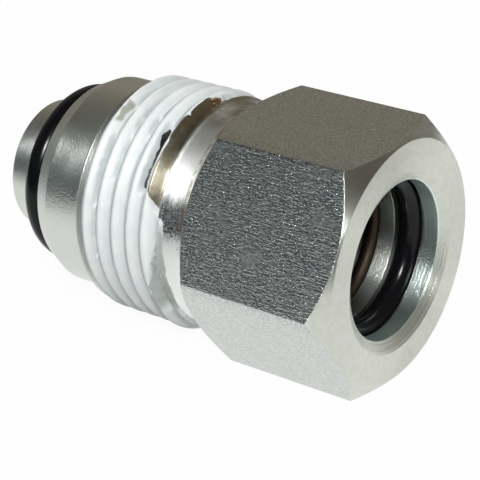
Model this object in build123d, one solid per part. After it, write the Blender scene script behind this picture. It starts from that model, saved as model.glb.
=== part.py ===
from build123d import *
import math
import os

# Quick connect coupling, lying on one flat of its hexagon.
# Millimetres. It is modelled upright on the Z axis: the mouth's face is at 0 and places along the
# axis, named "at", count up towards the nose. lay_down() then puts it on its side, mouth towards +X.

# Hexagon
hex_across_flats = 27.0
hex_length = 19.0
hex_edge_radius = 0.25
hex_face_d = 26.6
hex_chamfer_angle = 38.0

# Collar between the hexagon and the thread
collar_d = 25.0
collar_length = 3.4
collar_flare_height = 0.8
collar_flare_radius = 2.6

# Thread, right-hand, 60 degree
thread_major_d = 26.8
thread_pitch = 2.0
thread_length = 12.0
thread_depth_per_pitch = 0.6134
thread_crest_per_pitch = 0.125
thread_half_angle = 30.0
thread_end_angle = 45.0
first_groove_at_top = 1.1

# Pilot and nose
pilot_d = 24.2
pilot_length = 4.35
pilot_lead_length = 2.0
shoulder_d = 22.3
nose_d = 15.3
nose_length = 7.2
nose_edge = 0.3

# Socket, from the mouth inwards
mouth_d = 20.2
mouth_half_angle = 60.0
lip_d = 17.5
lip_length = 1.86
socket_groove_d = 19.8
land_length = 1.95
socket_d = 16.2
chamber_d = 20.8
chamber_width = 2.2
socket_depth = 30.0
passage_d = 10.5
passage_edge = 0.5

# O-rings: each is pressed a little flat where it bears on metal
socket_ring_section = 2.62
socket_ring_side_play = 0.29
nose_ring_section = 2.9
nose_ring_from_shoulder = 0.35
ring_squash = 0.06

# Retaining ring: split round wire in a seat that opens into a deeper chamber
catch_wire_d = 1.8
catch_outer_d = 18.8
catch_clearance = 0.05
catch_gap_angle = 24.0

# Paste on the thread
paste_thickness = 0.1
paste_fill = 0.35
paste_bare_at_collar = 1.3
paste_bare_at_pilot = 1.4

# How far a cutting tool reaches past the thread's crest
overrun = 0.12

# Places along the axis
collar_end = hex_length + collar_length
thread_end = collar_end + thread_length
lead_start = thread_end + pilot_length
shoulder_at = lead_start + pilot_lead_length
nose_tip = shoulder_at + nose_length

# Radii that several shapes share
major_r = thread_major_d / 2
root_r = major_r - thread_depth_per_pitch * thread_pitch
groove_crest_width = thread_pitch * (1 - thread_crest_per_pitch)


def tangent(degrees):
    return math.tan(math.radians(degrees))


lip_at = (mouth_d - lip_d) / 2 / tangent(mouth_half_angle)
socket_groove_at = lip_at + lip_length
land_at = socket_groove_at + socket_ring_section + 2 * socket_ring_side_play
seat_at = land_at + land_length
seat_end = seat_at + catch_wire_d + 2 * catch_clearance
seat_d = catch_outer_d + 2 * catch_clearance


def turned(corners):
    """Solid of revolution about the axis, from (radius, place) corners."""
    outline = Plane.XZ * make_face(Polyline(*corners, close=True))
    return revolve(outline, Axis.Z)


def cylinder(diameter, start, end):
    return Pos(0, 0, (start + end) / 2) * Cylinder(diameter / 2, end - start)


def hexagon():
    """Hexagon bar with its corners turned off to a cone at both ends."""
    outline = RegularPolygon(hex_across_flats / 2, 6, major_radius=False, rotation=30)
    bar = extrude(fillet(outline.vertices(), hex_edge_radius), hex_length)
    wide = hex_across_flats
    chamfer_depth = (wide - hex_face_d / 2) * tangent(hex_chamfer_angle)
    top = hex_length + chamfer_depth
    cone = [(0, 0), (hex_face_d / 2, 0), (wide, chamfer_depth), (wide, top), (0, top)]
    first = turned(cone)
    second = Pos(0, 0, hex_length) * Rot(180, 0, 0) * first
    return bar & first & second


def collar():
    """Plain collar that flares to the hexagon's end face with a concave radius."""
    low = collar_d / 2
    high = low + collar_flare_height
    drop = collar_flare_radius - collar_flare_height
    flare_length = math.sqrt(collar_flare_radius**2 - drop**2)
    flare = [(high, hex_length), (low, hex_length + flare_length)]
    lines = [
        RadiusArc(flare[0], flare[1], collar_flare_radius),
        Polyline(flare[1], (low, collar_end), (0, collar_end), (0, hex_length), flare[0]),
    ]
    return revolve(Plane.XZ * make_face(lines), Axis.Z)


def grooved_rod(outer_r, bottom_r, crest_width):
    """Rod as long as the thread, with a helical V groove, cut turn by turn, that runs out at both ends."""
    slope = tangent(thread_half_angle)
    bottom = crest_width / 2 - (outer_r - bottom_r) * slope
    top = crest_width / 2 + overrun * slope
    top_r = outer_r + overrun
    corners = [(bottom_r, -bottom), (top_r, -top), (top_r, top), (bottom_r, bottom)]
    start = collar_end + first_groove_at_top - 2 * thread_pitch
    edges = [Edge.make_helix(thread_pitch, thread_pitch, r, center=(0, 0, start + z)) for r, z in corners]
    sides = [Face.make_surface_from_curves(edges[i - 1], edges[i]) for i in range(len(edges))]
    ends = [Face(Wire.make_polygon([edge @ end for edge in edges])) for end in (0, 1)]
    turn = Solid(Shell(sides + ends))
    count = math.ceil((thread_end - start) / thread_pitch) + 1
    groove = [Pos(0, 0, i * thread_pitch) * turn for i in range(count)]
    return cylinder(2 * outer_r, collar_end, thread_end) - groove


def chamfered_rod(coat=0.0):
    """Plain rod with the chamfers of the thread's two ends, a coat larger all round."""
    collar_rise = (major_r - collar_d / 2) / tangent(thread_end_angle)
    pilot_rise = (major_r - pilot_d / 2) / tangent(thread_end_angle)
    return turned(
        [
            (0, collar_end),
            (collar_d / 2 + coat, collar_end),
            (major_r + coat, collar_end + collar_rise),
            (major_r + coat, thread_end - pilot_rise),
            (pilot_d / 2 + coat, thread_end),
            (0, thread_end),
        ]
    )


def threaded_rod():
    return grooved_rod(major_r, root_r, groove_crest_width) & chamfered_rod()


def pilot_and_nose():
    tip = nose_d / 2 - nose_edge
    return turned(
        [
            (0, thread_end),
            (pilot_d / 2, thread_end),
            (pilot_d / 2, lead_start),
            (shoulder_d / 2, shoulder_at),
            (nose_d / 2, shoulder_at),
            (nose_d / 2, nose_tip - nose_edge),
            (tip, nose_tip),
            (0, nose_tip),
        ]
    )


def socket():
    """Everything bored out of the body, from the mouth through to the nose."""
    chamber_at = seat_end + (chamber_d - seat_d) / 2
    chamber_end = chamber_at + chamber_width
    stop_cone = (socket_d - passage_d) / 2
    edge_r = passage_d / 2 + passage_edge
    return turned(
        [
            (0, 0),
            (mouth_d / 2, 0),
            (lip_d / 2, lip_at),
            (lip_d / 2, socket_groove_at),
            (socket_groove_d / 2, socket_groove_at),
            (socket_groove_d / 2, land_at),
            (socket_d / 2, land_at),
            (socket_d / 2, seat_at),
            (seat_d / 2, seat_at),
            (seat_d / 2, seat_end),
            (chamber_d / 2, chamber_at),
            (chamber_d / 2, chamber_end),
            (socket_d / 2, chamber_end),
            (socket_d / 2, socket_depth),
            (passage_d / 2, socket_depth + stop_cone),
            (passage_d / 2, nose_tip - passage_edge),
            (edge_r, nose_tip),
            (0, nose_tip),
        ]
    )


def body():
    return hexagon() + collar() + threaded_rod() + pilot_and_nose() - socket()


def socket_o_ring():
    """Pressed out against the floor of its groove, midway between the groove's walls."""
    floor_r = socket_groove_d / 2
    centre_r = floor_r - socket_ring_section / 2 + ring_squash
    centre_at = (socket_groove_at + land_at) / 2
    section = Pos(centre_r, centre_at) * Circle(socket_ring_section / 2)
    ring = revolve(Plane.XZ * section, Axis.Z)
    return ring & cylinder(socket_groove_d, socket_groove_at, land_at)


def nose_o_ring():
    """Stretched over the nose, a little off the shoulder."""
    centre_r = nose_d / 2 + nose_ring_section / 2 - ring_squash
    centre_at = shoulder_at + nose_ring_from_shoulder + nose_ring_section / 2
    section = Pos(centre_r, centre_at) * Circle(nose_ring_section / 2)
    ring = revolve(Plane.XZ * section, Axis.Z)
    return ring - cylinder(nose_d, shoulder_at, nose_tip)


def retaining_ring():
    """Split wire ring in its seat, which is too small for it to open when the plug is pulled."""
    wire_r = catch_wire_d / 2
    centre_r = catch_outer_d / 2 - wire_r
    centre_at = (seat_at + seat_end) / 2
    section = Plane.XZ * (Pos(centre_r, centre_at) * Circle(wire_r))
    ring = revolve(section, Axis.Z, 360 - catch_gap_angle)
    return Rot(0, 0, catch_gap_angle / 2) * ring


def thread_sealant():
    """Paste over the crests and in the roots, with the grooves still showing."""
    outer_r = major_r + paste_thickness
    flank = paste_thickness / math.cos(math.radians(thread_half_angle))
    crest_width = groove_crest_width - 2 * flank + 2 * paste_thickness * tangent(thread_half_angle)
    coated = grooved_rod(outer_r, root_r + paste_fill, crest_width) & chamfered_rod(paste_thickness)
    start = collar_end + paste_bare_at_collar
    end = thread_end - paste_bare_at_pilot
    kept = cylinder(2 * thread_major_d, start, end)
    return (coated & kept) - threaded_rod()


def lay_down(shape):
    """Lays the upright part on a flat, mouth towards +X, centred over the origin."""
    side = Rot(0, -90, 0) * shape
    return Pos(nose_tip / 2, 0, hex_across_flats / 2) * side


parts = {
    "body": body(),
    "socket_o_ring": socket_o_ring(),
    "nose_o_ring": nose_o_ring(),
    "retaining_ring": retaining_ring(),
    "thread_sealant": thread_sealant(),
}

os.makedirs("parts", exist_ok=True)
for name, shape in parts.items():
    export_step(lay_down(shape), f"parts/{name}.step")
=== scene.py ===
import math

import bpy
import numpy as np
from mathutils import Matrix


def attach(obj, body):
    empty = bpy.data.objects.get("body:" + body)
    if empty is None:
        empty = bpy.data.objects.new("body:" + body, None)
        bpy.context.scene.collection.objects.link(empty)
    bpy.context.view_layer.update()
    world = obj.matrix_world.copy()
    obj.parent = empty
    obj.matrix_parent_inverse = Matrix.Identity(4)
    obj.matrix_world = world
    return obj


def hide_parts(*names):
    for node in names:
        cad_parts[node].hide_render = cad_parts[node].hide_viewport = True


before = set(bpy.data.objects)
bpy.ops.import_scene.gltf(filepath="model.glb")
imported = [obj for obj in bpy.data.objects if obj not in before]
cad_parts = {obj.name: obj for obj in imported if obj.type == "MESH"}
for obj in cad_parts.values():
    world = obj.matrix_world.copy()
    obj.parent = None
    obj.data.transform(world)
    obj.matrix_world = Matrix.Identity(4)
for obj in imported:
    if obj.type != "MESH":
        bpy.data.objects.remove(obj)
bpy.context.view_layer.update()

# Sizes in millimetres, from the CAD part. "along" counts from the mouth's face towards the nose,
# and "around" is the angle in degrees from +Y towards +Z.
MOUTH_X = 23.975
AXIS_Z = 13.5
HEX_LENGTH = 19.0
COLLAR_END = 22.4
COLLAR_R = 12.5
THREAD_END = 34.4
PILOT_R = 12.1
MAJOR_R = 13.4
ROOT_R = 12.173
PITCH = 2.0
GROOVE_AT_TOP = 23.5
GROOVE_BOTTOM_HALF = 0.1667
FLANK = math.tan(math.radians(30))
MM = 0.001

# On the near side the coat is only a film short of a slanted line: where the line passes, at which
# angle, and how far along it runs for each degree
FILM_AT = 22.72
FILM_ANGLE = 170
FILM_SLOPE = 0.0433

# The sealant's coat, in millimetres
COAT_START = 21.0
COAT_END = 33.6
COAT_INNER_R = 11.8
COAT_OVER_THREAD = 0.40
COAT_LEAST = 0.06
COAT_UNDER_BARE = 0.2
COAT_SMOOTHING = 0.42
LOBE_HEIGHT = 0.22
CLEAR_OF_BOX = 0.002
COAT_COLUMNS = 460
COAT_ROWS = 190

# The floor's half width, in metres
FLOOR_REACH = 6.0


class Tree:
    """A node tree with short calls: each one adds a node and returns its first output."""

    def __init__(self, owner):
        owner.use_nodes = True
        self.nodes = owner.node_tree.nodes
        self.links = owner.node_tree.links
        self.nodes.clear()

    def put(self, socket, value):
        if isinstance(value, bpy.types.NodeSocket):
            self.links.new(value, socket)
        elif value is not None:
            socket.default_value = value

    def add(self, kind, **settings):
        node = self.nodes.new(kind)
        for name, value in settings.items():
            setattr(node, name, value)
        return node

    def math(self, operation, *values):
        node = self.add("ShaderNodeMath", operation=operation)
        for socket, value in zip(node.inputs, values):
            self.put(socket, value)
        return node.outputs[0]

    def product(self, *values):
        total = values[0]
        for value in values[1:]:
            total = self.math("MULTIPLY", total, value)
        return total

    def vector(self, x, y, z):
        node = self.add("ShaderNodeCombineXYZ")
        for socket, value in zip(node.inputs, (x, y, z)):
            self.put(socket, value)
        return node.outputs[0]

    def noise(self, vector, scale, detail=2.0, roughness=0.5, distortion=0.0):
        node = self.add("ShaderNodeTexNoise")
        self.put(node.inputs["Vector"], vector)
        node.inputs["Scale"].default_value = scale
        node.inputs["Detail"].default_value = detail
        node.inputs["Roughness"].default_value = roughness
        node.inputs["Distortion"].default_value = distortion
        return node.outputs["Fac"]

    def ramp(self, value, low, high, out_low=0.0, out_high=1.0):
        node = self.add("ShaderNodeMapRange", interpolation_type="SMOOTHSTEP")
        for name, item in (
            ("Value", value),
            ("From Min", low),
            ("From Max", high),
            ("To Min", out_low),
            ("To Max", out_high),
        ):
            self.put(node.inputs[name], item)
        return node.outputs[0]

    def window(self, value, low, high, soft):
        """1 between low and high, fading to 0 over soft on each side."""
        rise = self.ramp(value, low - soft, low + soft)
        fall = self.ramp(value, high - soft, high + soft, 1.0, 0.0)
        return self.product(rise, fall)

    def mix(self, factor, first, second):
        node = self.add("ShaderNodeMix", data_type="RGBA")
        colours = [s for s in node.inputs if s.type == "RGBA"]
        self.put(node.inputs[0], factor)
        self.put(colours[0], first)
        self.put(colours[1], second)
        return [s for s in node.outputs if s.type == "RGBA"][0]

    def bump(self, height, distance, strength=1.0, normal=None):
        node = self.add("ShaderNodeBump")
        node.inputs["Strength"].default_value = strength
        node.inputs["Distance"].default_value = distance
        self.put(node.inputs["Height"], height)
        self.put(node.inputs["Normal"], normal)
        return node.outputs[0]

    def rounded(self, radius):
        node = self.add("ShaderNodeBevel", samples=6)
        node.inputs["Radius"].default_value = radius
        return node.outputs[0]

    def principled(self, **inputs):
        node = self.add("ShaderNodeBsdfPrincipled")
        for name, value in inputs.items():
            self.put(node.inputs[name.replace("_", " ")], value)
        out = self.add("ShaderNodeOutputMaterial")
        self.links.new(node.outputs[0], out.inputs["Surface"])
        return node


def colour(red, green, blue):
    return (red, green, blue, 1.0)


class Place:
    """Where a shaded point lies on the part, in millimetres and degrees."""

    def __init__(self, tree):
        coords = tree.add("ShaderNodeTexCoord")
        split = tree.add("ShaderNodeSeparateXYZ")
        tree.links.new(coords.outputs["Object"], split.inputs[0])
        x, y, z = split.outputs
        self.x = tree.math("MULTIPLY", x, 1000.0)
        self.y = tree.math("MULTIPLY", y, 1000.0)
        self.z = tree.math("MULTIPLY_ADD", z, 1000.0, -AXIS_Z)
        self.along = tree.math("SUBTRACT", MOUTH_X, self.x)
        squares = tree.math("MULTIPLY_ADD", self.z, self.z, tree.math("MULTIPLY", self.y, self.y))
        self.radius = tree.math("SQRT", squares)
        angle = tree.math("ARCTAN2", self.z, self.y)
        # -90 to 270 degrees, so that the seam lies underneath
        self.around = tree.math("MULTIPLY", angle, 180 / math.pi)
        below = tree.math("LESS_THAN", self.around, -90.0)
        self.around = tree.math("MULTIPLY_ADD", below, 360.0, self.around)
        self.point = tree.vector(self.x, self.y, self.z)


class Zones:
    """Where each finish of the steel body lies, as masks from 0 to 1."""

    def __init__(self, t, p):
        normal = t.add("ShaderNodeNewGeometry").outputs["True Normal"]
        split = t.add("ShaderNodeSeparateXYZ")
        t.links.new(normal, split.inputs[0])
        tilt = t.math("ABSOLUTE", split.outputs[0])
        on_hexagon = t.product(t.ramp(p.along, HEX_LENGTH, 18.97), t.ramp(p.radius, 12.9, 13.0))
        self.flat = t.product(on_hexagon, t.ramp(tilt, 0.1, 0.05))
        self.turned = t.math("SUBTRACT", 1.0, self.flat)
        behind_face = t.ramp(p.along, 0.02, 0.2)
        before_nose = t.ramp(p.along, 34.0, 33.0)
        socket = t.product(t.ramp(p.radius, 10.6, 10.0), behind_face, before_nose)
        self.inside = t.math("MAXIMUM", socket, t.ramp(p.radius, 6.2, 5.6))
        self.collar = t.window(p.along, HEX_LENGTH, 22.6, 0.05)


class Marks:
    """Noises that the body's colour and bump share."""

    def __init__(self, t, p):
        # Drawn flats: fine pits that glint, bright specks that are painted glints, and long fine lines
        # along the axis
        stretched = t.vector(t.math("MULTIPLY", p.x, 0.62), p.y, p.z)
        self.pits = t.noise(stretched, 4.9, 2.0, 0.7)
        self.painted_glint_specks = t.ramp(t.noise(stretched, 4.2, 2.0, 0.6), 0.66, 0.72)
        lines = t.noise(t.vector(t.math("MULTIPLY", p.x, 0.05), p.y, p.z), 7.0, 2.0)
        self.drawn = t.math("MULTIPLY_ADD", lines, 0.45, self.pits)

        # Turned faces: fine rings round the axis, and a grain that is coarser on the pilot and nose
        self.ring_place = t.vector(p.along, p.radius, t.math("MULTIPLY", p.around, 0.002))
        rings = t.noise(self.ring_place, 6.5, 3.0, 0.6)
        self.grain = t.noise(p.point, 4.5, 3.0, 0.65)
        rear = t.ramp(p.along, 33.0, 34.0)
        self.cut = t.math("MULTIPLY_ADD", self.grain, t.math("MULTIPLY_ADD", rear, 1.2, 0.8), rings)

        self.cloud = t.noise(p.point, 0.35, 3.0)
        self.mottle = t.noise(p.point, 1.3, 4.0, 0.6)


def plating(t, p, zones, marks):
    """Colour of the clean zinc: pitted and scratched on the flats, with painted glints and painted shade
    in the near flats' pits, warmer on the mouth's face.
    """
    zinc = t.mix(marks.cloud, colour(0.66, 0.69, 0.65), colour(0.74, 0.77, 0.73))
    # Real pits, made darker on the near flats as painted shade
    near = t.window(p.around, 116.0, 184.0, 6.0)
    pit_and_shade_depth = t.math("MULTIPLY_ADD", near, 0.45, 0.3)
    pitted = t.product(t.ramp(marks.pits, 0.60, 0.40), zones.flat, pit_and_shade_depth)
    zinc = t.mix(pitted, zinc, colour(0.36, 0.38, 0.41))
    # Painted glints: bright specks on the flats
    zinc = t.mix(t.product(marks.painted_glint_specks, zones.flat, 0.85), zinc, colour(0.92, 0.95, 0.95))
    slanted = t.math("MULTIPLY_ADD", p.y, 0.5, p.x)
    scratch_place = t.vector(slanted, t.math("MULTIPLY", p.y, 0.04), p.z)
    scratches = t.ramp(t.noise(scratch_place, 1.7, 2.0, 0.7), 0.69, 0.74)
    zinc = t.mix(t.product(scratches, zones.flat, 0.35), zinc, colour(0.85, 0.86, 0.82))
    face = t.product(zones.turned, t.ramp(p.along, 1.7, 1.2))
    warm = t.product(face, t.ramp(marks.mottle, 0.3, 0.7, 0.25, 0.6))
    return t.mix(warm, zinc, colour(0.56, 0.56, 0.45))


def stains_and_painted_sheen(t, p, zones, marks, zinc):
    """Collar lighter as a painted highlight, with a dark patch that is partly tarnish and partly painted
    dark reflection, and brown stains at the crumbs and the hexagon.
    """
    # Painted highlight: the whole collar is made lighter
    zinc = t.mix(zones.collar, zinc, colour(0.93, 0.95, 0.93))
    # A dark patch on the collar, partly tarnish and partly a painted dark reflection
    edge = t.math("MULTIPLY_ADD", t.noise(marks.ring_place, 3.0, 3.0, 0.7), 16.0, p.around)
    edge = t.math("MULTIPLY_ADD", marks.grain, 14.0, edge)
    dark = t.product(t.window(edge, 163.0, 180.0, 3.0), zones.collar)
    dark = t.product(dark, t.ramp(marks.grain, 0.35, 0.65, 1.0, 0.5))
    zinc = t.mix(dark, zinc, colour(0.06, 0.06, 0.07))
    stain = t.product(t.window(p.around, 62.0, 104.0, 8.0), t.window(p.along, 19.4, 24.2, 0.5))
    stain = t.product(stain, t.ramp(marks.cloud, 0.25, 0.6), 0.7)
    zinc = t.mix(stain, zinc, colour(0.26, 0.19, 0.11))
    corner = t.product(t.window(p.along, 18.9, 19.9, 0.25), t.window(p.around, 60.0, 172.0, 6.0))
    corner = t.product(corner, zones.turned, t.ramp(marks.mottle, 0.4, 0.6), 0.6)
    return t.mix(corner, zinc, colour(0.24, 0.15, 0.09))


def shade_and_tints(t, p, zones, marks, zinc):
    """Painted shade deep in the socket, darker where the thread is bare, blue-green on the lip."""
    # Painted shade deep in the socket
    deep = t.product(zones.inside, t.ramp(p.along, 7.7, 9.0))
    zinc = t.mix(t.product(deep, 0.85), zinc, colour(0.12, 0.09, 0.06))
    lip = t.product(t.ramp(p.radius, 8.95, 8.8), t.ramp(p.along, 4.0, 3.0))
    zinc = t.mix(lip, zinc, colour(0.74, 0.86, 0.82))
    dirty = t.product(t.window(p.along, 23.15, 24.3, 0.12), t.ramp(marks.mottle, 0.3, 0.6, 0.4, 0.9))
    zinc = t.mix(dirty, zinc, colour(0.50, 0.43, 0.30))
    bare = t.product(t.window(p.along, 24.5, 32.7, 0.1), t.ramp(marks.grain, 0.4, 0.6, 0.95, 0.7))
    return t.mix(bare, zinc, colour(0.09, 0.09, 0.085))


def spread_direction(t, p, zones):
    """Light spreads across the marks: along the axis where turned, across it on the drawn flats."""
    away = t.math("DIVIDE", 1.0, t.math("MAXIMUM", p.radius, 1.0))
    outward_y = t.product(p.y, away)
    outward_z = t.product(p.z, away)
    across = t.product(zones.flat, -1.0)
    return t.vector(
        t.product(zones.turned, 0.5),
        t.math("MULTIPLY_ADD", across, outward_z, t.product(zones.turned, outward_y)),
        t.math("MULTIPLY_ADD", zones.flat, outward_y, t.product(zones.turned, outward_z)),
    )


def steel(name):
    """Zinc-plated steel: drawn hexagon flats, turned everywhere else."""
    material = bpy.data.materials.new(name)
    t = Tree(material)
    p = Place(t)
    zones = Zones(t, p)
    marks = Marks(t, p)

    ring_depth = t.math("MULTIPLY_ADD", zones.collar, 1.4, 1.0)
    ring_depth = t.math("MULTIPLY_ADD", zones.inside, 0.8, ring_depth)
    rings = t.product(marks.cut, zones.turned, ring_depth)
    height = t.math("MULTIPLY_ADD", t.product(marks.drawn, zones.flat), 4.5, rings)
    shape = t.bump(height, 0.00003, 1.0, t.rounded(0.00016))

    zinc = plating(t, p, zones, marks)
    zinc = stains_and_painted_sheen(t, p, zones, marks, zinc)
    zinc = shade_and_tints(t, p, zones, marks, zinc)
    rough = t.math("MULTIPLY_ADD", zones.collar, 0.22, t.ramp(marks.cloud, 0.3, 0.7, 0.30, 0.36))
    rough = t.math("MULTIPLY_ADD", zones.flat, -0.08, rough)
    t.principled(
        Base_Color=zinc,
        Metallic=1.0,
        Roughness=rough,
        Normal=shape,
        Anisotropic=0.8,
        Tangent=spread_direction(t, p, zones),
    )
    return material


def rubber(name):
    material = bpy.data.materials.new(name)
    t = Tree(material)
    p = Place(t)
    dust = t.ramp(t.noise(p.point, 3.5, 2.0, 0.6), 0.72, 0.77)
    base = t.mix(t.product(dust, 0.25), colour(0.004, 0.004, 0.005), colour(0.16, 0.15, 0.13))
    rough = t.ramp(t.noise(p.point, 0.9, 2.0), 0.3, 0.7, 0.18, 0.24)
    fine = t.bump(t.noise(p.point, 2.0, 2.0), 0.000002)
    t.principled(Base_Color=base, Roughness=rough, Normal=fine, Specular_IOR_Level=0.2)
    return material


def spring_steel(name):
    material = bpy.data.materials.new(name)
    t = Tree(material)
    p = Place(t)
    drawn = t.noise(t.vector(t.math("MULTIPLY", p.around, 0.02), p.along, p.radius), 9.0, 2.0)
    base = t.mix(drawn, colour(0.045, 0.035, 0.025), colour(0.09, 0.07, 0.05))
    rough = t.ramp(drawn, 0.3, 0.7, 0.5, 0.6)
    t.principled(Base_Color=base, Metallic=1.0, Roughness=rough, Normal=t.bump(drawn, 0.00001))
    return material


def valleys(t, p, base, broad):
    """Greyer low in the grooves and along the grooves' bottoms at the top, partly a thinner coat and
    partly painted shade; painted shade just behind each crest.
    """
    # Greyer low in the grooves: partly a thinner coat over the metal, partly painted shade
    low = t.ramp(t.math("MULTIPLY_ADD", broad, 0.25, p.radius), MAJOR_R + 0.05, MAJOR_R - 0.35)
    base = t.mix(t.product(low, 0.3), base, colour(0.42, 0.48, 0.50))
    place = t.math("SUBTRACT", p.along, GROOVE_AT_TOP + PITCH / 4)
    place = t.math("MULTIPLY_ADD", p.around, PITCH / 360, place)
    off = t.math("WRAP", place, PITCH / 2, -PITCH / 2)
    # Painted shade just behind each crest, on the flank that faces away from the key lamp
    behind = t.product(t.window(off, -0.72, -0.42, 0.16), t.window(p.around, 40.0, 215.0, 15.0))
    behind = t.product(behind, t.ramp(p.around, 100.0, 122.0, 0.85, 0.5))
    base = t.mix(behind, base, colour(0.30, 0.35, 0.37))
    # Greyer along the grooves' bottoms at the top: partly a thinner coat, partly painted shade
    top_groove_tint_and_shade = t.product(t.window(off, -0.6, -0.1, 0.16), t.window(p.around, 40.0, 112.0, 10.0))
    return t.mix(t.product(top_groove_tint_and_shade, 0.65), base, colour(0.28, 0.33, 0.35))


def worn_through(t, p, base):
    """A thin grey film towards the hexagon on the near side, and an olive patch near the pilot."""
    wander = t.math("MULTIPLY_ADD", t.noise(p.point, 1.2, 3.0), 0.8, -0.4)
    line = t.math("MULTIPLY_ADD", p.around, FILM_SLOPE, FILM_AT - FILM_ANGLE * FILM_SLOPE)
    short = t.math("SUBTRACT", line, t.math("ADD", p.along, wander))
    thin = t.product(t.ramp(short, -0.05, 0.25), t.window(p.around, 164.0, 212.0, 4.0))
    film = t.mix(t.noise(p.point, 2.2, 3.0, 0.6), colour(0.24, 0.26, 0.24), colour(0.50, 0.54, 0.50))
    base = t.mix(t.product(thin, 0.85), base, film)
    bent = t.math("MULTIPLY_ADD", t.noise(p.point, 0.9, 2.0), 8.0, p.around)
    shifted = t.math("MULTIPLY_ADD", t.noise(p.point, 1.1, 2.0), 0.6, p.along)
    olive = t.product(t.window(bent, 109.0, 122.0, 2.0), t.window(shifted, 31.95, 32.55, 0.14))
    return t.mix(t.product(olive, 0.85), base, colour(0.30, 0.31, 0.24))


def paste(name):
    """Dried thread sealant: nearly white on the crests, grey-blue with painted shade in the grooves, and
    grey-blue where it is thin.
    """
    material = bpy.data.materials.new(name)
    t = Tree(material)
    p = Place(t)
    broad = t.noise(p.point, 0.5, 3.0, 0.55)
    base = t.mix(t.ramp(broad, 0.3, 0.7), colour(0.73, 0.77, 0.77), colour(0.78, 0.80, 0.79))
    smears = t.noise(t.vector(t.math("MULTIPLY", p.around, 0.02), p.along, 0.0), 3.0, 3.0, 0.6)
    base = t.mix(t.ramp(smears, 0.6, 0.8, 0.0, 0.3), base, colour(0.62, 0.68, 0.68))
    base = valleys(t, p, base, broad)
    base = worn_through(t, p, base)
    t.principled(
        Base_Color=base,
        Roughness=t.ramp(broad, 0.3, 0.7, 0.36, 0.52),
        Normal=t.bump(t.noise(p.point, 5.0, 4.0, 0.6), 0.00002),
        Subsurface_Weight=0.1,
        Subsurface_Radius=(0.0004, 0.0004, 0.0004),
        Subsurface_Scale=1.0,
    )
    return material


def rust(name):
    material = bpy.data.materials.new(name)
    t = Tree(material)
    p = Place(t)
    spots = t.ramp(t.noise(p.point, 3.4, 3.0, 0.6), 0.35, 0.65)
    base = t.mix(spots, colour(0.05, 0.028, 0.014), colour(0.34, 0.22, 0.12))
    t.principled(Base_Color=base, Roughness=0.6, Normal=t.bump(spots, 0.00003))
    return material


def waves(around, along, seed, count, short, long_, radius=13.4):
    """Smooth noise in about -1 to 1 that closes up round the axis; wavelengths in mm."""
    rng = np.random.default_rng(seed)
    total = np.zeros_like(around + along)
    turn = np.radians(around)
    for _ in range(count):
        length = short * (long_ / short) ** rng.random()
        heading = rng.random() * 2 * math.pi
        turns = round(radius * 2 * math.pi / length * math.cos(heading))
        rate = 2 * math.pi / length * math.sin(heading)
        total += np.cos(turns * turn + rate * along + rng.random() * 2 * math.pi)
    return total / math.sqrt(count / 2) / 2


def from_groove(around, along):
    """Distance along the axis to the middle of the nearest groove."""
    centre = GROOVE_AT_TOP + PITCH * (90 - around) / 360
    return (along - centre + PITCH / 2) % PITCH - PITCH / 2


def metal_radius(around, along):
    """Radius of the CAD body under the sealant."""
    off = np.abs(from_groove(around, along))
    thread = np.clip(ROOT_R + (off - GROOVE_BOTTOM_HALF) / FLANK, ROOT_R, MAJOR_R)
    thread = np.minimum(thread, COLLAR_R + (along - COLLAR_END))
    thread = np.minimum(thread, PILOT_R + (THREAD_END - along))
    thread = np.where(along < COLLAR_END, COLLAR_R, thread)
    return np.where(along > THREAD_END, PILOT_R, thread)


def smooth_step(value, low, high):
    t = np.clip((value - low) / (high - low), 0, 1)
    return t * t * (3 - 2 * t)


def patch(around, along, a0, a1, u0, u1, soft_deg=3.0, soft_mm=0.15):
    """1 in a soft rectangle on the thread, 0 outside."""
    inside_a = smooth_step(around, a0 - soft_deg, a0 + soft_deg)
    inside_a = inside_a * (1 - smooth_step(around, a1 - soft_deg, a1 + soft_deg))
    inside_u = smooth_step(along, u0 - soft_mm, u0 + soft_mm)
    return inside_a * inside_u * (1 - smooth_step(along, u1 - soft_mm, u1 + soft_mm))


# Where the coat ends towards the hexagon: angle round the axis and place along it
HEX_EDGE = [
    (-90, 22.9), (-40, 23.2), (20, 23.1), (60, 23.2), (75, 23.8), (80, 24.1), (84, 24.35),
    (92, 24.3), (104, 24.3), (112, 24.5), (118, 24.4), (124, 24.3), (132, 24.25), (138, 24.35),
    (142, 24.45), (147, 24.3), (151, 23.7), (156, 22.9), (161, 22.1), (168, 21.9), (185, 21.6),
    (205, 21.5), (240, 21.9), (262, 22.5), (270, 22.9),
]
# Bare or nearly bare lengths of a groove's bottom: first and last angle, number of the groove
# counted from the hexagon, and half the width
BARE_GROOVES = [
    (72, 106, 4, 0.26),
    (127, 157, 4, 0.2),
    (163, 186, 4, 0.1),
    (84, 116, 3, 0.24),
    (128, 146, 3, 0.1),
    (112, 119, 2, 0.22),
    (111, 127, 1, 0.5),
    (120, 149, 1, 0.4),
]


def smoothed_thread(around, along):
    """The thread with its grooves half filled, as a thick coat shows it."""
    shifts = np.linspace(-0.9, 0.9, 19)
    weights = np.exp(-(shifts / COAT_SMOOTHING) ** 2 / 2)
    total = sum(weight * metal_radius(around, along + shift) for shift, weight in zip(shifts, weights))
    return total / weights.sum()


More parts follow.
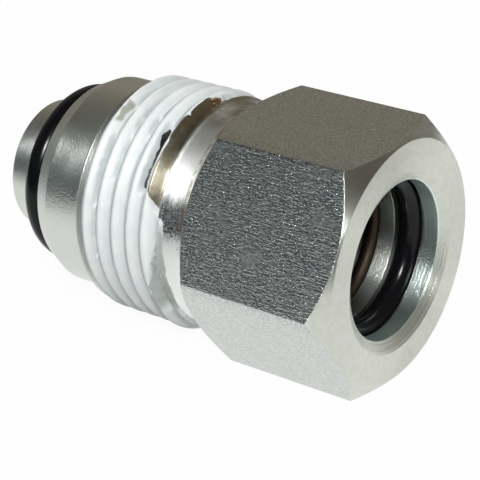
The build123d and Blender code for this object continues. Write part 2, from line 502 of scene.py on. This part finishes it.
def coat_cover(around, along):
    """1 where the coat covers the metal, 0 where the thread is bare."""
    ragged = 0.12 * waves(around, along, 5, 60, 2.0, 6.0)
    ragged = ragged + 0.05 * waves(around, along, 6, 60, 0.5, 1.5)
    angles, places = zip(*HEX_EDGE)
    edge = np.interp(around, angles, places)
    cover = smooth_step(along - edge + ragged, -0.16, 0.16)
    cover = cover * (1 - smooth_step(along + 0.35 * ragged, 32.9, 33.1))
    warp_a = around + 5 * waves(around, along, 7, 50, 1.5, 4.0)
    off = from_groove(around, along)
    warp_off = off + 0.09 * waves(around, along, 8, 50, 1.0, 3.0)
    number = np.round((along - off - GROOVE_AT_TOP - PITCH * (90 - around) / 360) / PITCH)
    for a0, a1, groove, half in BARE_GROOVES:
        hole = patch(warp_a, warp_off, a0, a1, -half, half, 5.0, 0.22)
        cover = cover * (1 - hole * (number == groove))
    return cover


def sealant_radius(around, along):
    """Outer radius of the coat; it dives under the metal where the thread is bare."""
    metal = metal_radius(around, along)
    lumps = 0.04 * waves(around, along, 3, 40, 3.0, 9.0)
    lumps = lumps + 0.012 * waves(around, along, 4, 60, 0.9, 2.4)
    # Worn thin at the top near the pilot
    worn = patch(around, along, 25, 105, 28.5, 34, 18, 1.5)
    thick = smoothed_thread(around, along) + COAT_OVER_THREAD - 0.26 * worn + lumps
    least = metal + COAT_LEAST - 0.03 * worn + 0.4 * lumps
    coat = np.maximum(thick, least)

    line = FILM_AT + (around - FILM_ANGLE) * FILM_SLOPE
    thin = smooth_step(line - along, -0.15, 0.35) * smooth_step(around, 160, 168)
    thin = thin * (1 - smooth_step(around, 208, 216))
    coat = coat + (metal + 0.05 + 0.3 * lumps - coat) * thin

    cover = coat_cover(around, along)
    bare = metal - COAT_UNDER_BARE
    radius = bare + (coat - bare) * cover
    # A lobe of paste at the lower front
    lobe = patch(around, along, 218, 252, 21.9, 24.2, 12, 0.7)
    radius = radius + LOBE_HEIGHT * lobe * cover
    # It stays off the floor and under the top of the CAD box
    limit = AXIS_Z / np.maximum(np.abs(np.sin(np.radians(around))), 0.5)
    return np.minimum(radius, limit - CLEAR_OF_BOX)


def make_sealant():
    turns = -90 + 360 * np.arange(COAT_COLUMNS) / COAT_COLUMNS
    places = np.linspace(COAT_START, COAT_END, COAT_ROWS)
    around, along = np.meshgrid(turns, places)
    radius = sealant_radius(around, along)
    inner = np.full(COAT_COLUMNS, COAT_INNER_R)
    radius = np.vstack([inner, radius, inner])
    along = np.vstack([along[0], along, along[-1]])
    around = np.vstack([around[0], around, around[-1]])
    angle = np.radians(around)
    points = np.stack(
        [MOUTH_X - along, radius * np.cos(angle), AXIS_Z + radius * np.sin(angle)], axis=-1
    ).reshape(-1, 3) * MM
    levels = COAT_ROWS + 2
    index = np.arange(levels * COAT_COLUMNS).reshape(levels, COAT_COLUMNS)
    after = np.roll(index, -1, axis=1)
    # The last strip joins the two inner rings, inside the metal
    above = np.roll(index, -1, axis=0)
    above_after = np.roll(after, -1, axis=0)
    faces = np.stack([index, above, above_after, after], axis=-1).reshape(-1, 4)
    mesh = bpy.data.meshes.new("thread_sealant_coat")
    mesh.from_pydata(points.tolist(), [], faces.tolist())
    mesh.update()
    mesh.polygons.foreach_set("use_smooth", [True] * len(mesh.polygons))
    return mesh


# Crumbs at the top of the coat's edge: angle round the axis, place along it and size
CRUMBS = [
    (80.0, 23.5, 0.13), (81.2, 23.8, 0.2), (82.0, 23.4, 0.24), (82.8, 24.0, 0.26), (83.8, 23.6, 0.3),
    (84.6, 24.1, 0.22), (85.4, 23.7, 0.3), (86.3, 24.1, 0.26), (87.0, 23.5, 0.22), (87.8, 23.9, 0.25),
    (88.8, 24.2, 0.16), (89.6, 23.7, 0.14), (84.2, 23.2, 0.14), (97.0, 22.5, 0.1),
]


def make_crumbs():
    """Small lumps, each an uneven ball of latitude rings."""
    rings, sides = 7, 12
    points = []
    faces = []
    for number, (around, along, size) in enumerate(CRUMBS):
        first = len(points)
        seat = float(metal_radius(np.array(around), np.array(along)))
        centre_r = min(seat + 0.55 * size, AXIS_Z - 1.15 * size)
        for ring in range(rings):
            tilt = math.pi * (ring + 0.5) / rings
            for side in range(sides):
                turn = 2 * math.pi * side / sides
                uneven = 1 + 0.18 * math.sin(3 * turn + 5 * number + 2 * tilt)
                uneven += 0.12 * math.sin(5 * turn - 3 * number + 4 * tilt)
                reach = 0.85 * size * uneven
                x = reach * math.sin(tilt) * math.cos(turn)
                y = reach * math.sin(tilt) * math.sin(turn)
                angle = math.radians(around) + y / seat
                radius = centre_r + 0.75 * reach * math.cos(tilt)
                place = MOUTH_X - along + x
                points.append(
                    (place * MM, radius * math.cos(angle) * MM, (AXIS_Z + radius * math.sin(angle)) * MM)
                )
        for ring in range(rings - 1):
            for side in range(sides):
                low = first + ring * sides
                high = low + sides
                after = (side + 1) % sides
                faces.append((low + side, high + side, high + after, low + after))
        faces.append(tuple(first + side for side in range(sides)))
        faces.append(tuple(first + rings * sides - 1 - side for side in range(sides)))
    mesh = bpy.data.meshes.new("rust_crumbs")
    mesh.from_pydata(points, [], faces)
    mesh.update()
    mesh.polygons.foreach_set("use_smooth", [True] * len(mesh.polygons))
    return mesh


def add_piece(name, mesh, material):
    piece = bpy.data.objects.new(name, mesh)
    bpy.context.scene.collection.objects.link(piece)
    piece.data.materials.append(material)
    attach(piece, "root")
    return piece


def make_floor():
    mesh = bpy.data.meshes.new("floor")
    reach = FLOOR_REACH
    corners = [(-reach, -reach, 0), (reach, -reach, 0), (reach, reach, 0), (-reach, reach, 0)]
    mesh.from_pydata(corners, [], [(0, 1, 2, 3)])
    floor = bpy.data.objects.new("floor", mesh)
    bpy.context.scene.collection.objects.link(floor)
    material = bpy.data.materials.new("pale_floor")
    t = Tree(material)
    path = t.add("ShaderNodeLightPath")
    seen = t.math("MAXIMUM", path.outputs["Is Camera Ray"], path.outputs["Is Glossy Ray"])
    seen = t.math("MAXIMUM", seen, path.outputs["Is Transmission Ray"])
    matt = t.add("ShaderNodeBsdfDiffuse")
    matt.inputs["Color"].default_value = colour(0.36, 0.36, 0.355)
    coords = t.add("ShaderNodeTexCoord")
    distance = t.add("ShaderNodeVectorMath", operation="LENGTH")
    t.links.new(coords.outputs["Object"], distance.inputs[0])
    # Painted reflection: in reflections only, the floor turns dark a hand's width from the part, as if
    # the paper ended there
    dark_in_reflections = t.ramp(distance.outputs["Value"], 0.11, 0.16)
    dark_in_reflections = t.product(dark_in_reflections, path.outputs["Is Glossy Ray"])
    glow = t.add("ShaderNodeEmission")
    white = colour(1.06, 1.06, 1.06)
    t.put(glow.inputs["Color"], t.mix(dark_in_reflections, white, colour(0.08, 0.08, 0.08)))
    mixed = t.add("ShaderNodeMixShader")
    t.put(mixed.inputs[0], t.math("MULTIPLY", seen, 0.9))
    t.links.new(matt.outputs[0], mixed.inputs[1])
    t.links.new(glow.outputs[0], mixed.inputs[2])
    out = t.add("ShaderNodeOutputMaterial")
    t.links.new(mixed.outputs[0], out.inputs["Surface"])
    floor.data.materials.append(material)


def make_world():
    """A dim room: brown-grey behind the part, darker in front, nearly dark overhead."""
    world = bpy.data.worlds.new("room")
    bpy.context.scene.world = world
    t = Tree(world)
    coords = t.add("ShaderNodeTexCoord")
    split = t.add("ShaderNodeSeparateXYZ")
    t.links.new(coords.outputs["Generated"], split.inputs[0])
    x, y, z = split.outputs
    back = t.mix(t.ramp(z, 0.7, 0.88), colour(0.30, 0.27, 0.22), colour(0.04, 0.04, 0.04))
    back = t.mix(t.ramp(x, 0.15, 0.6, 0.0, 0.7), back, colour(0.06, 0.05, 0.04))
    front = t.mix(t.ramp(z, 0.12, 0.32), colour(0.02, 0.02, 0.02), colour(0.105, 0.135, 0.145))
    front = t.mix(t.ramp(z, 0.5, 0.75), front, colour(0.03, 0.03, 0.035))
    room = t.mix(t.ramp(y, -0.3, 0.3), front, back)
    glow = t.add("ShaderNodeBackground")
    t.put(glow.inputs["Color"], room)
    out = t.add("ShaderNodeOutputWorld")
    t.links.new(glow.outputs[0], out.inputs["Surface"])


def make_lamp(name, energy, angle, toward):
    """A distant lamp; toward points from the part to the lamp."""
    data = bpy.data.lights.new(name, "SUN")
    data.energy = energy
    data.angle = math.radians(angle)
    lamp = bpy.data.objects.new(name, data)
    x, y, z = np.array(toward) / np.linalg.norm(toward)
    lamp.rotation_euler = (math.acos(z), 0, math.atan2(x, -y))
    bpy.context.scene.collection.objects.link(lamp)
    return lamp


def make_camera():
    data = bpy.data.cameras.new("camera")
    data.lens = 135.05
    data.sensor_width = 36.0
    data.clip_start = 0.01
    camera = bpy.data.objects.new("camera", data)
    camera.location = (0.110285, -0.139858, 0.106009)
    camera.rotation_euler = [math.radians(a) for a in (61.4848, 3.0633, 35.8527)]
    bpy.context.scene.collection.objects.link(camera)
    bpy.context.scene.camera = camera


def repaint(node, material):
    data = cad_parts[node].data
    for place in range(len(data.materials)):
        data.materials[place] = material


make_camera()
make_floor()
make_world()
make_lamp("key", 3.1, 12, (0.43, -0.6, 0.67))
make_lamp("overhead", 0.6, 90, (0.0, 0.1, 1.0)).visible_glossy = False
bpy.context.scene.view_settings.view_transform = "Standard"

repaint("body", steel("zinc_plate"))
black = rubber("o_ring_rubber")
repaint("socket_o_ring", black)
repaint("nose_o_ring", black)
repaint("retaining_ring", spring_steel("ring_wire"))

coat = add_piece("sealant_coat", make_sealant(), paste("dried_paste"))
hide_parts("thread_sealant")
add_piece("rust_crumbs", make_crumbs(), rust("brown_crumbs"))
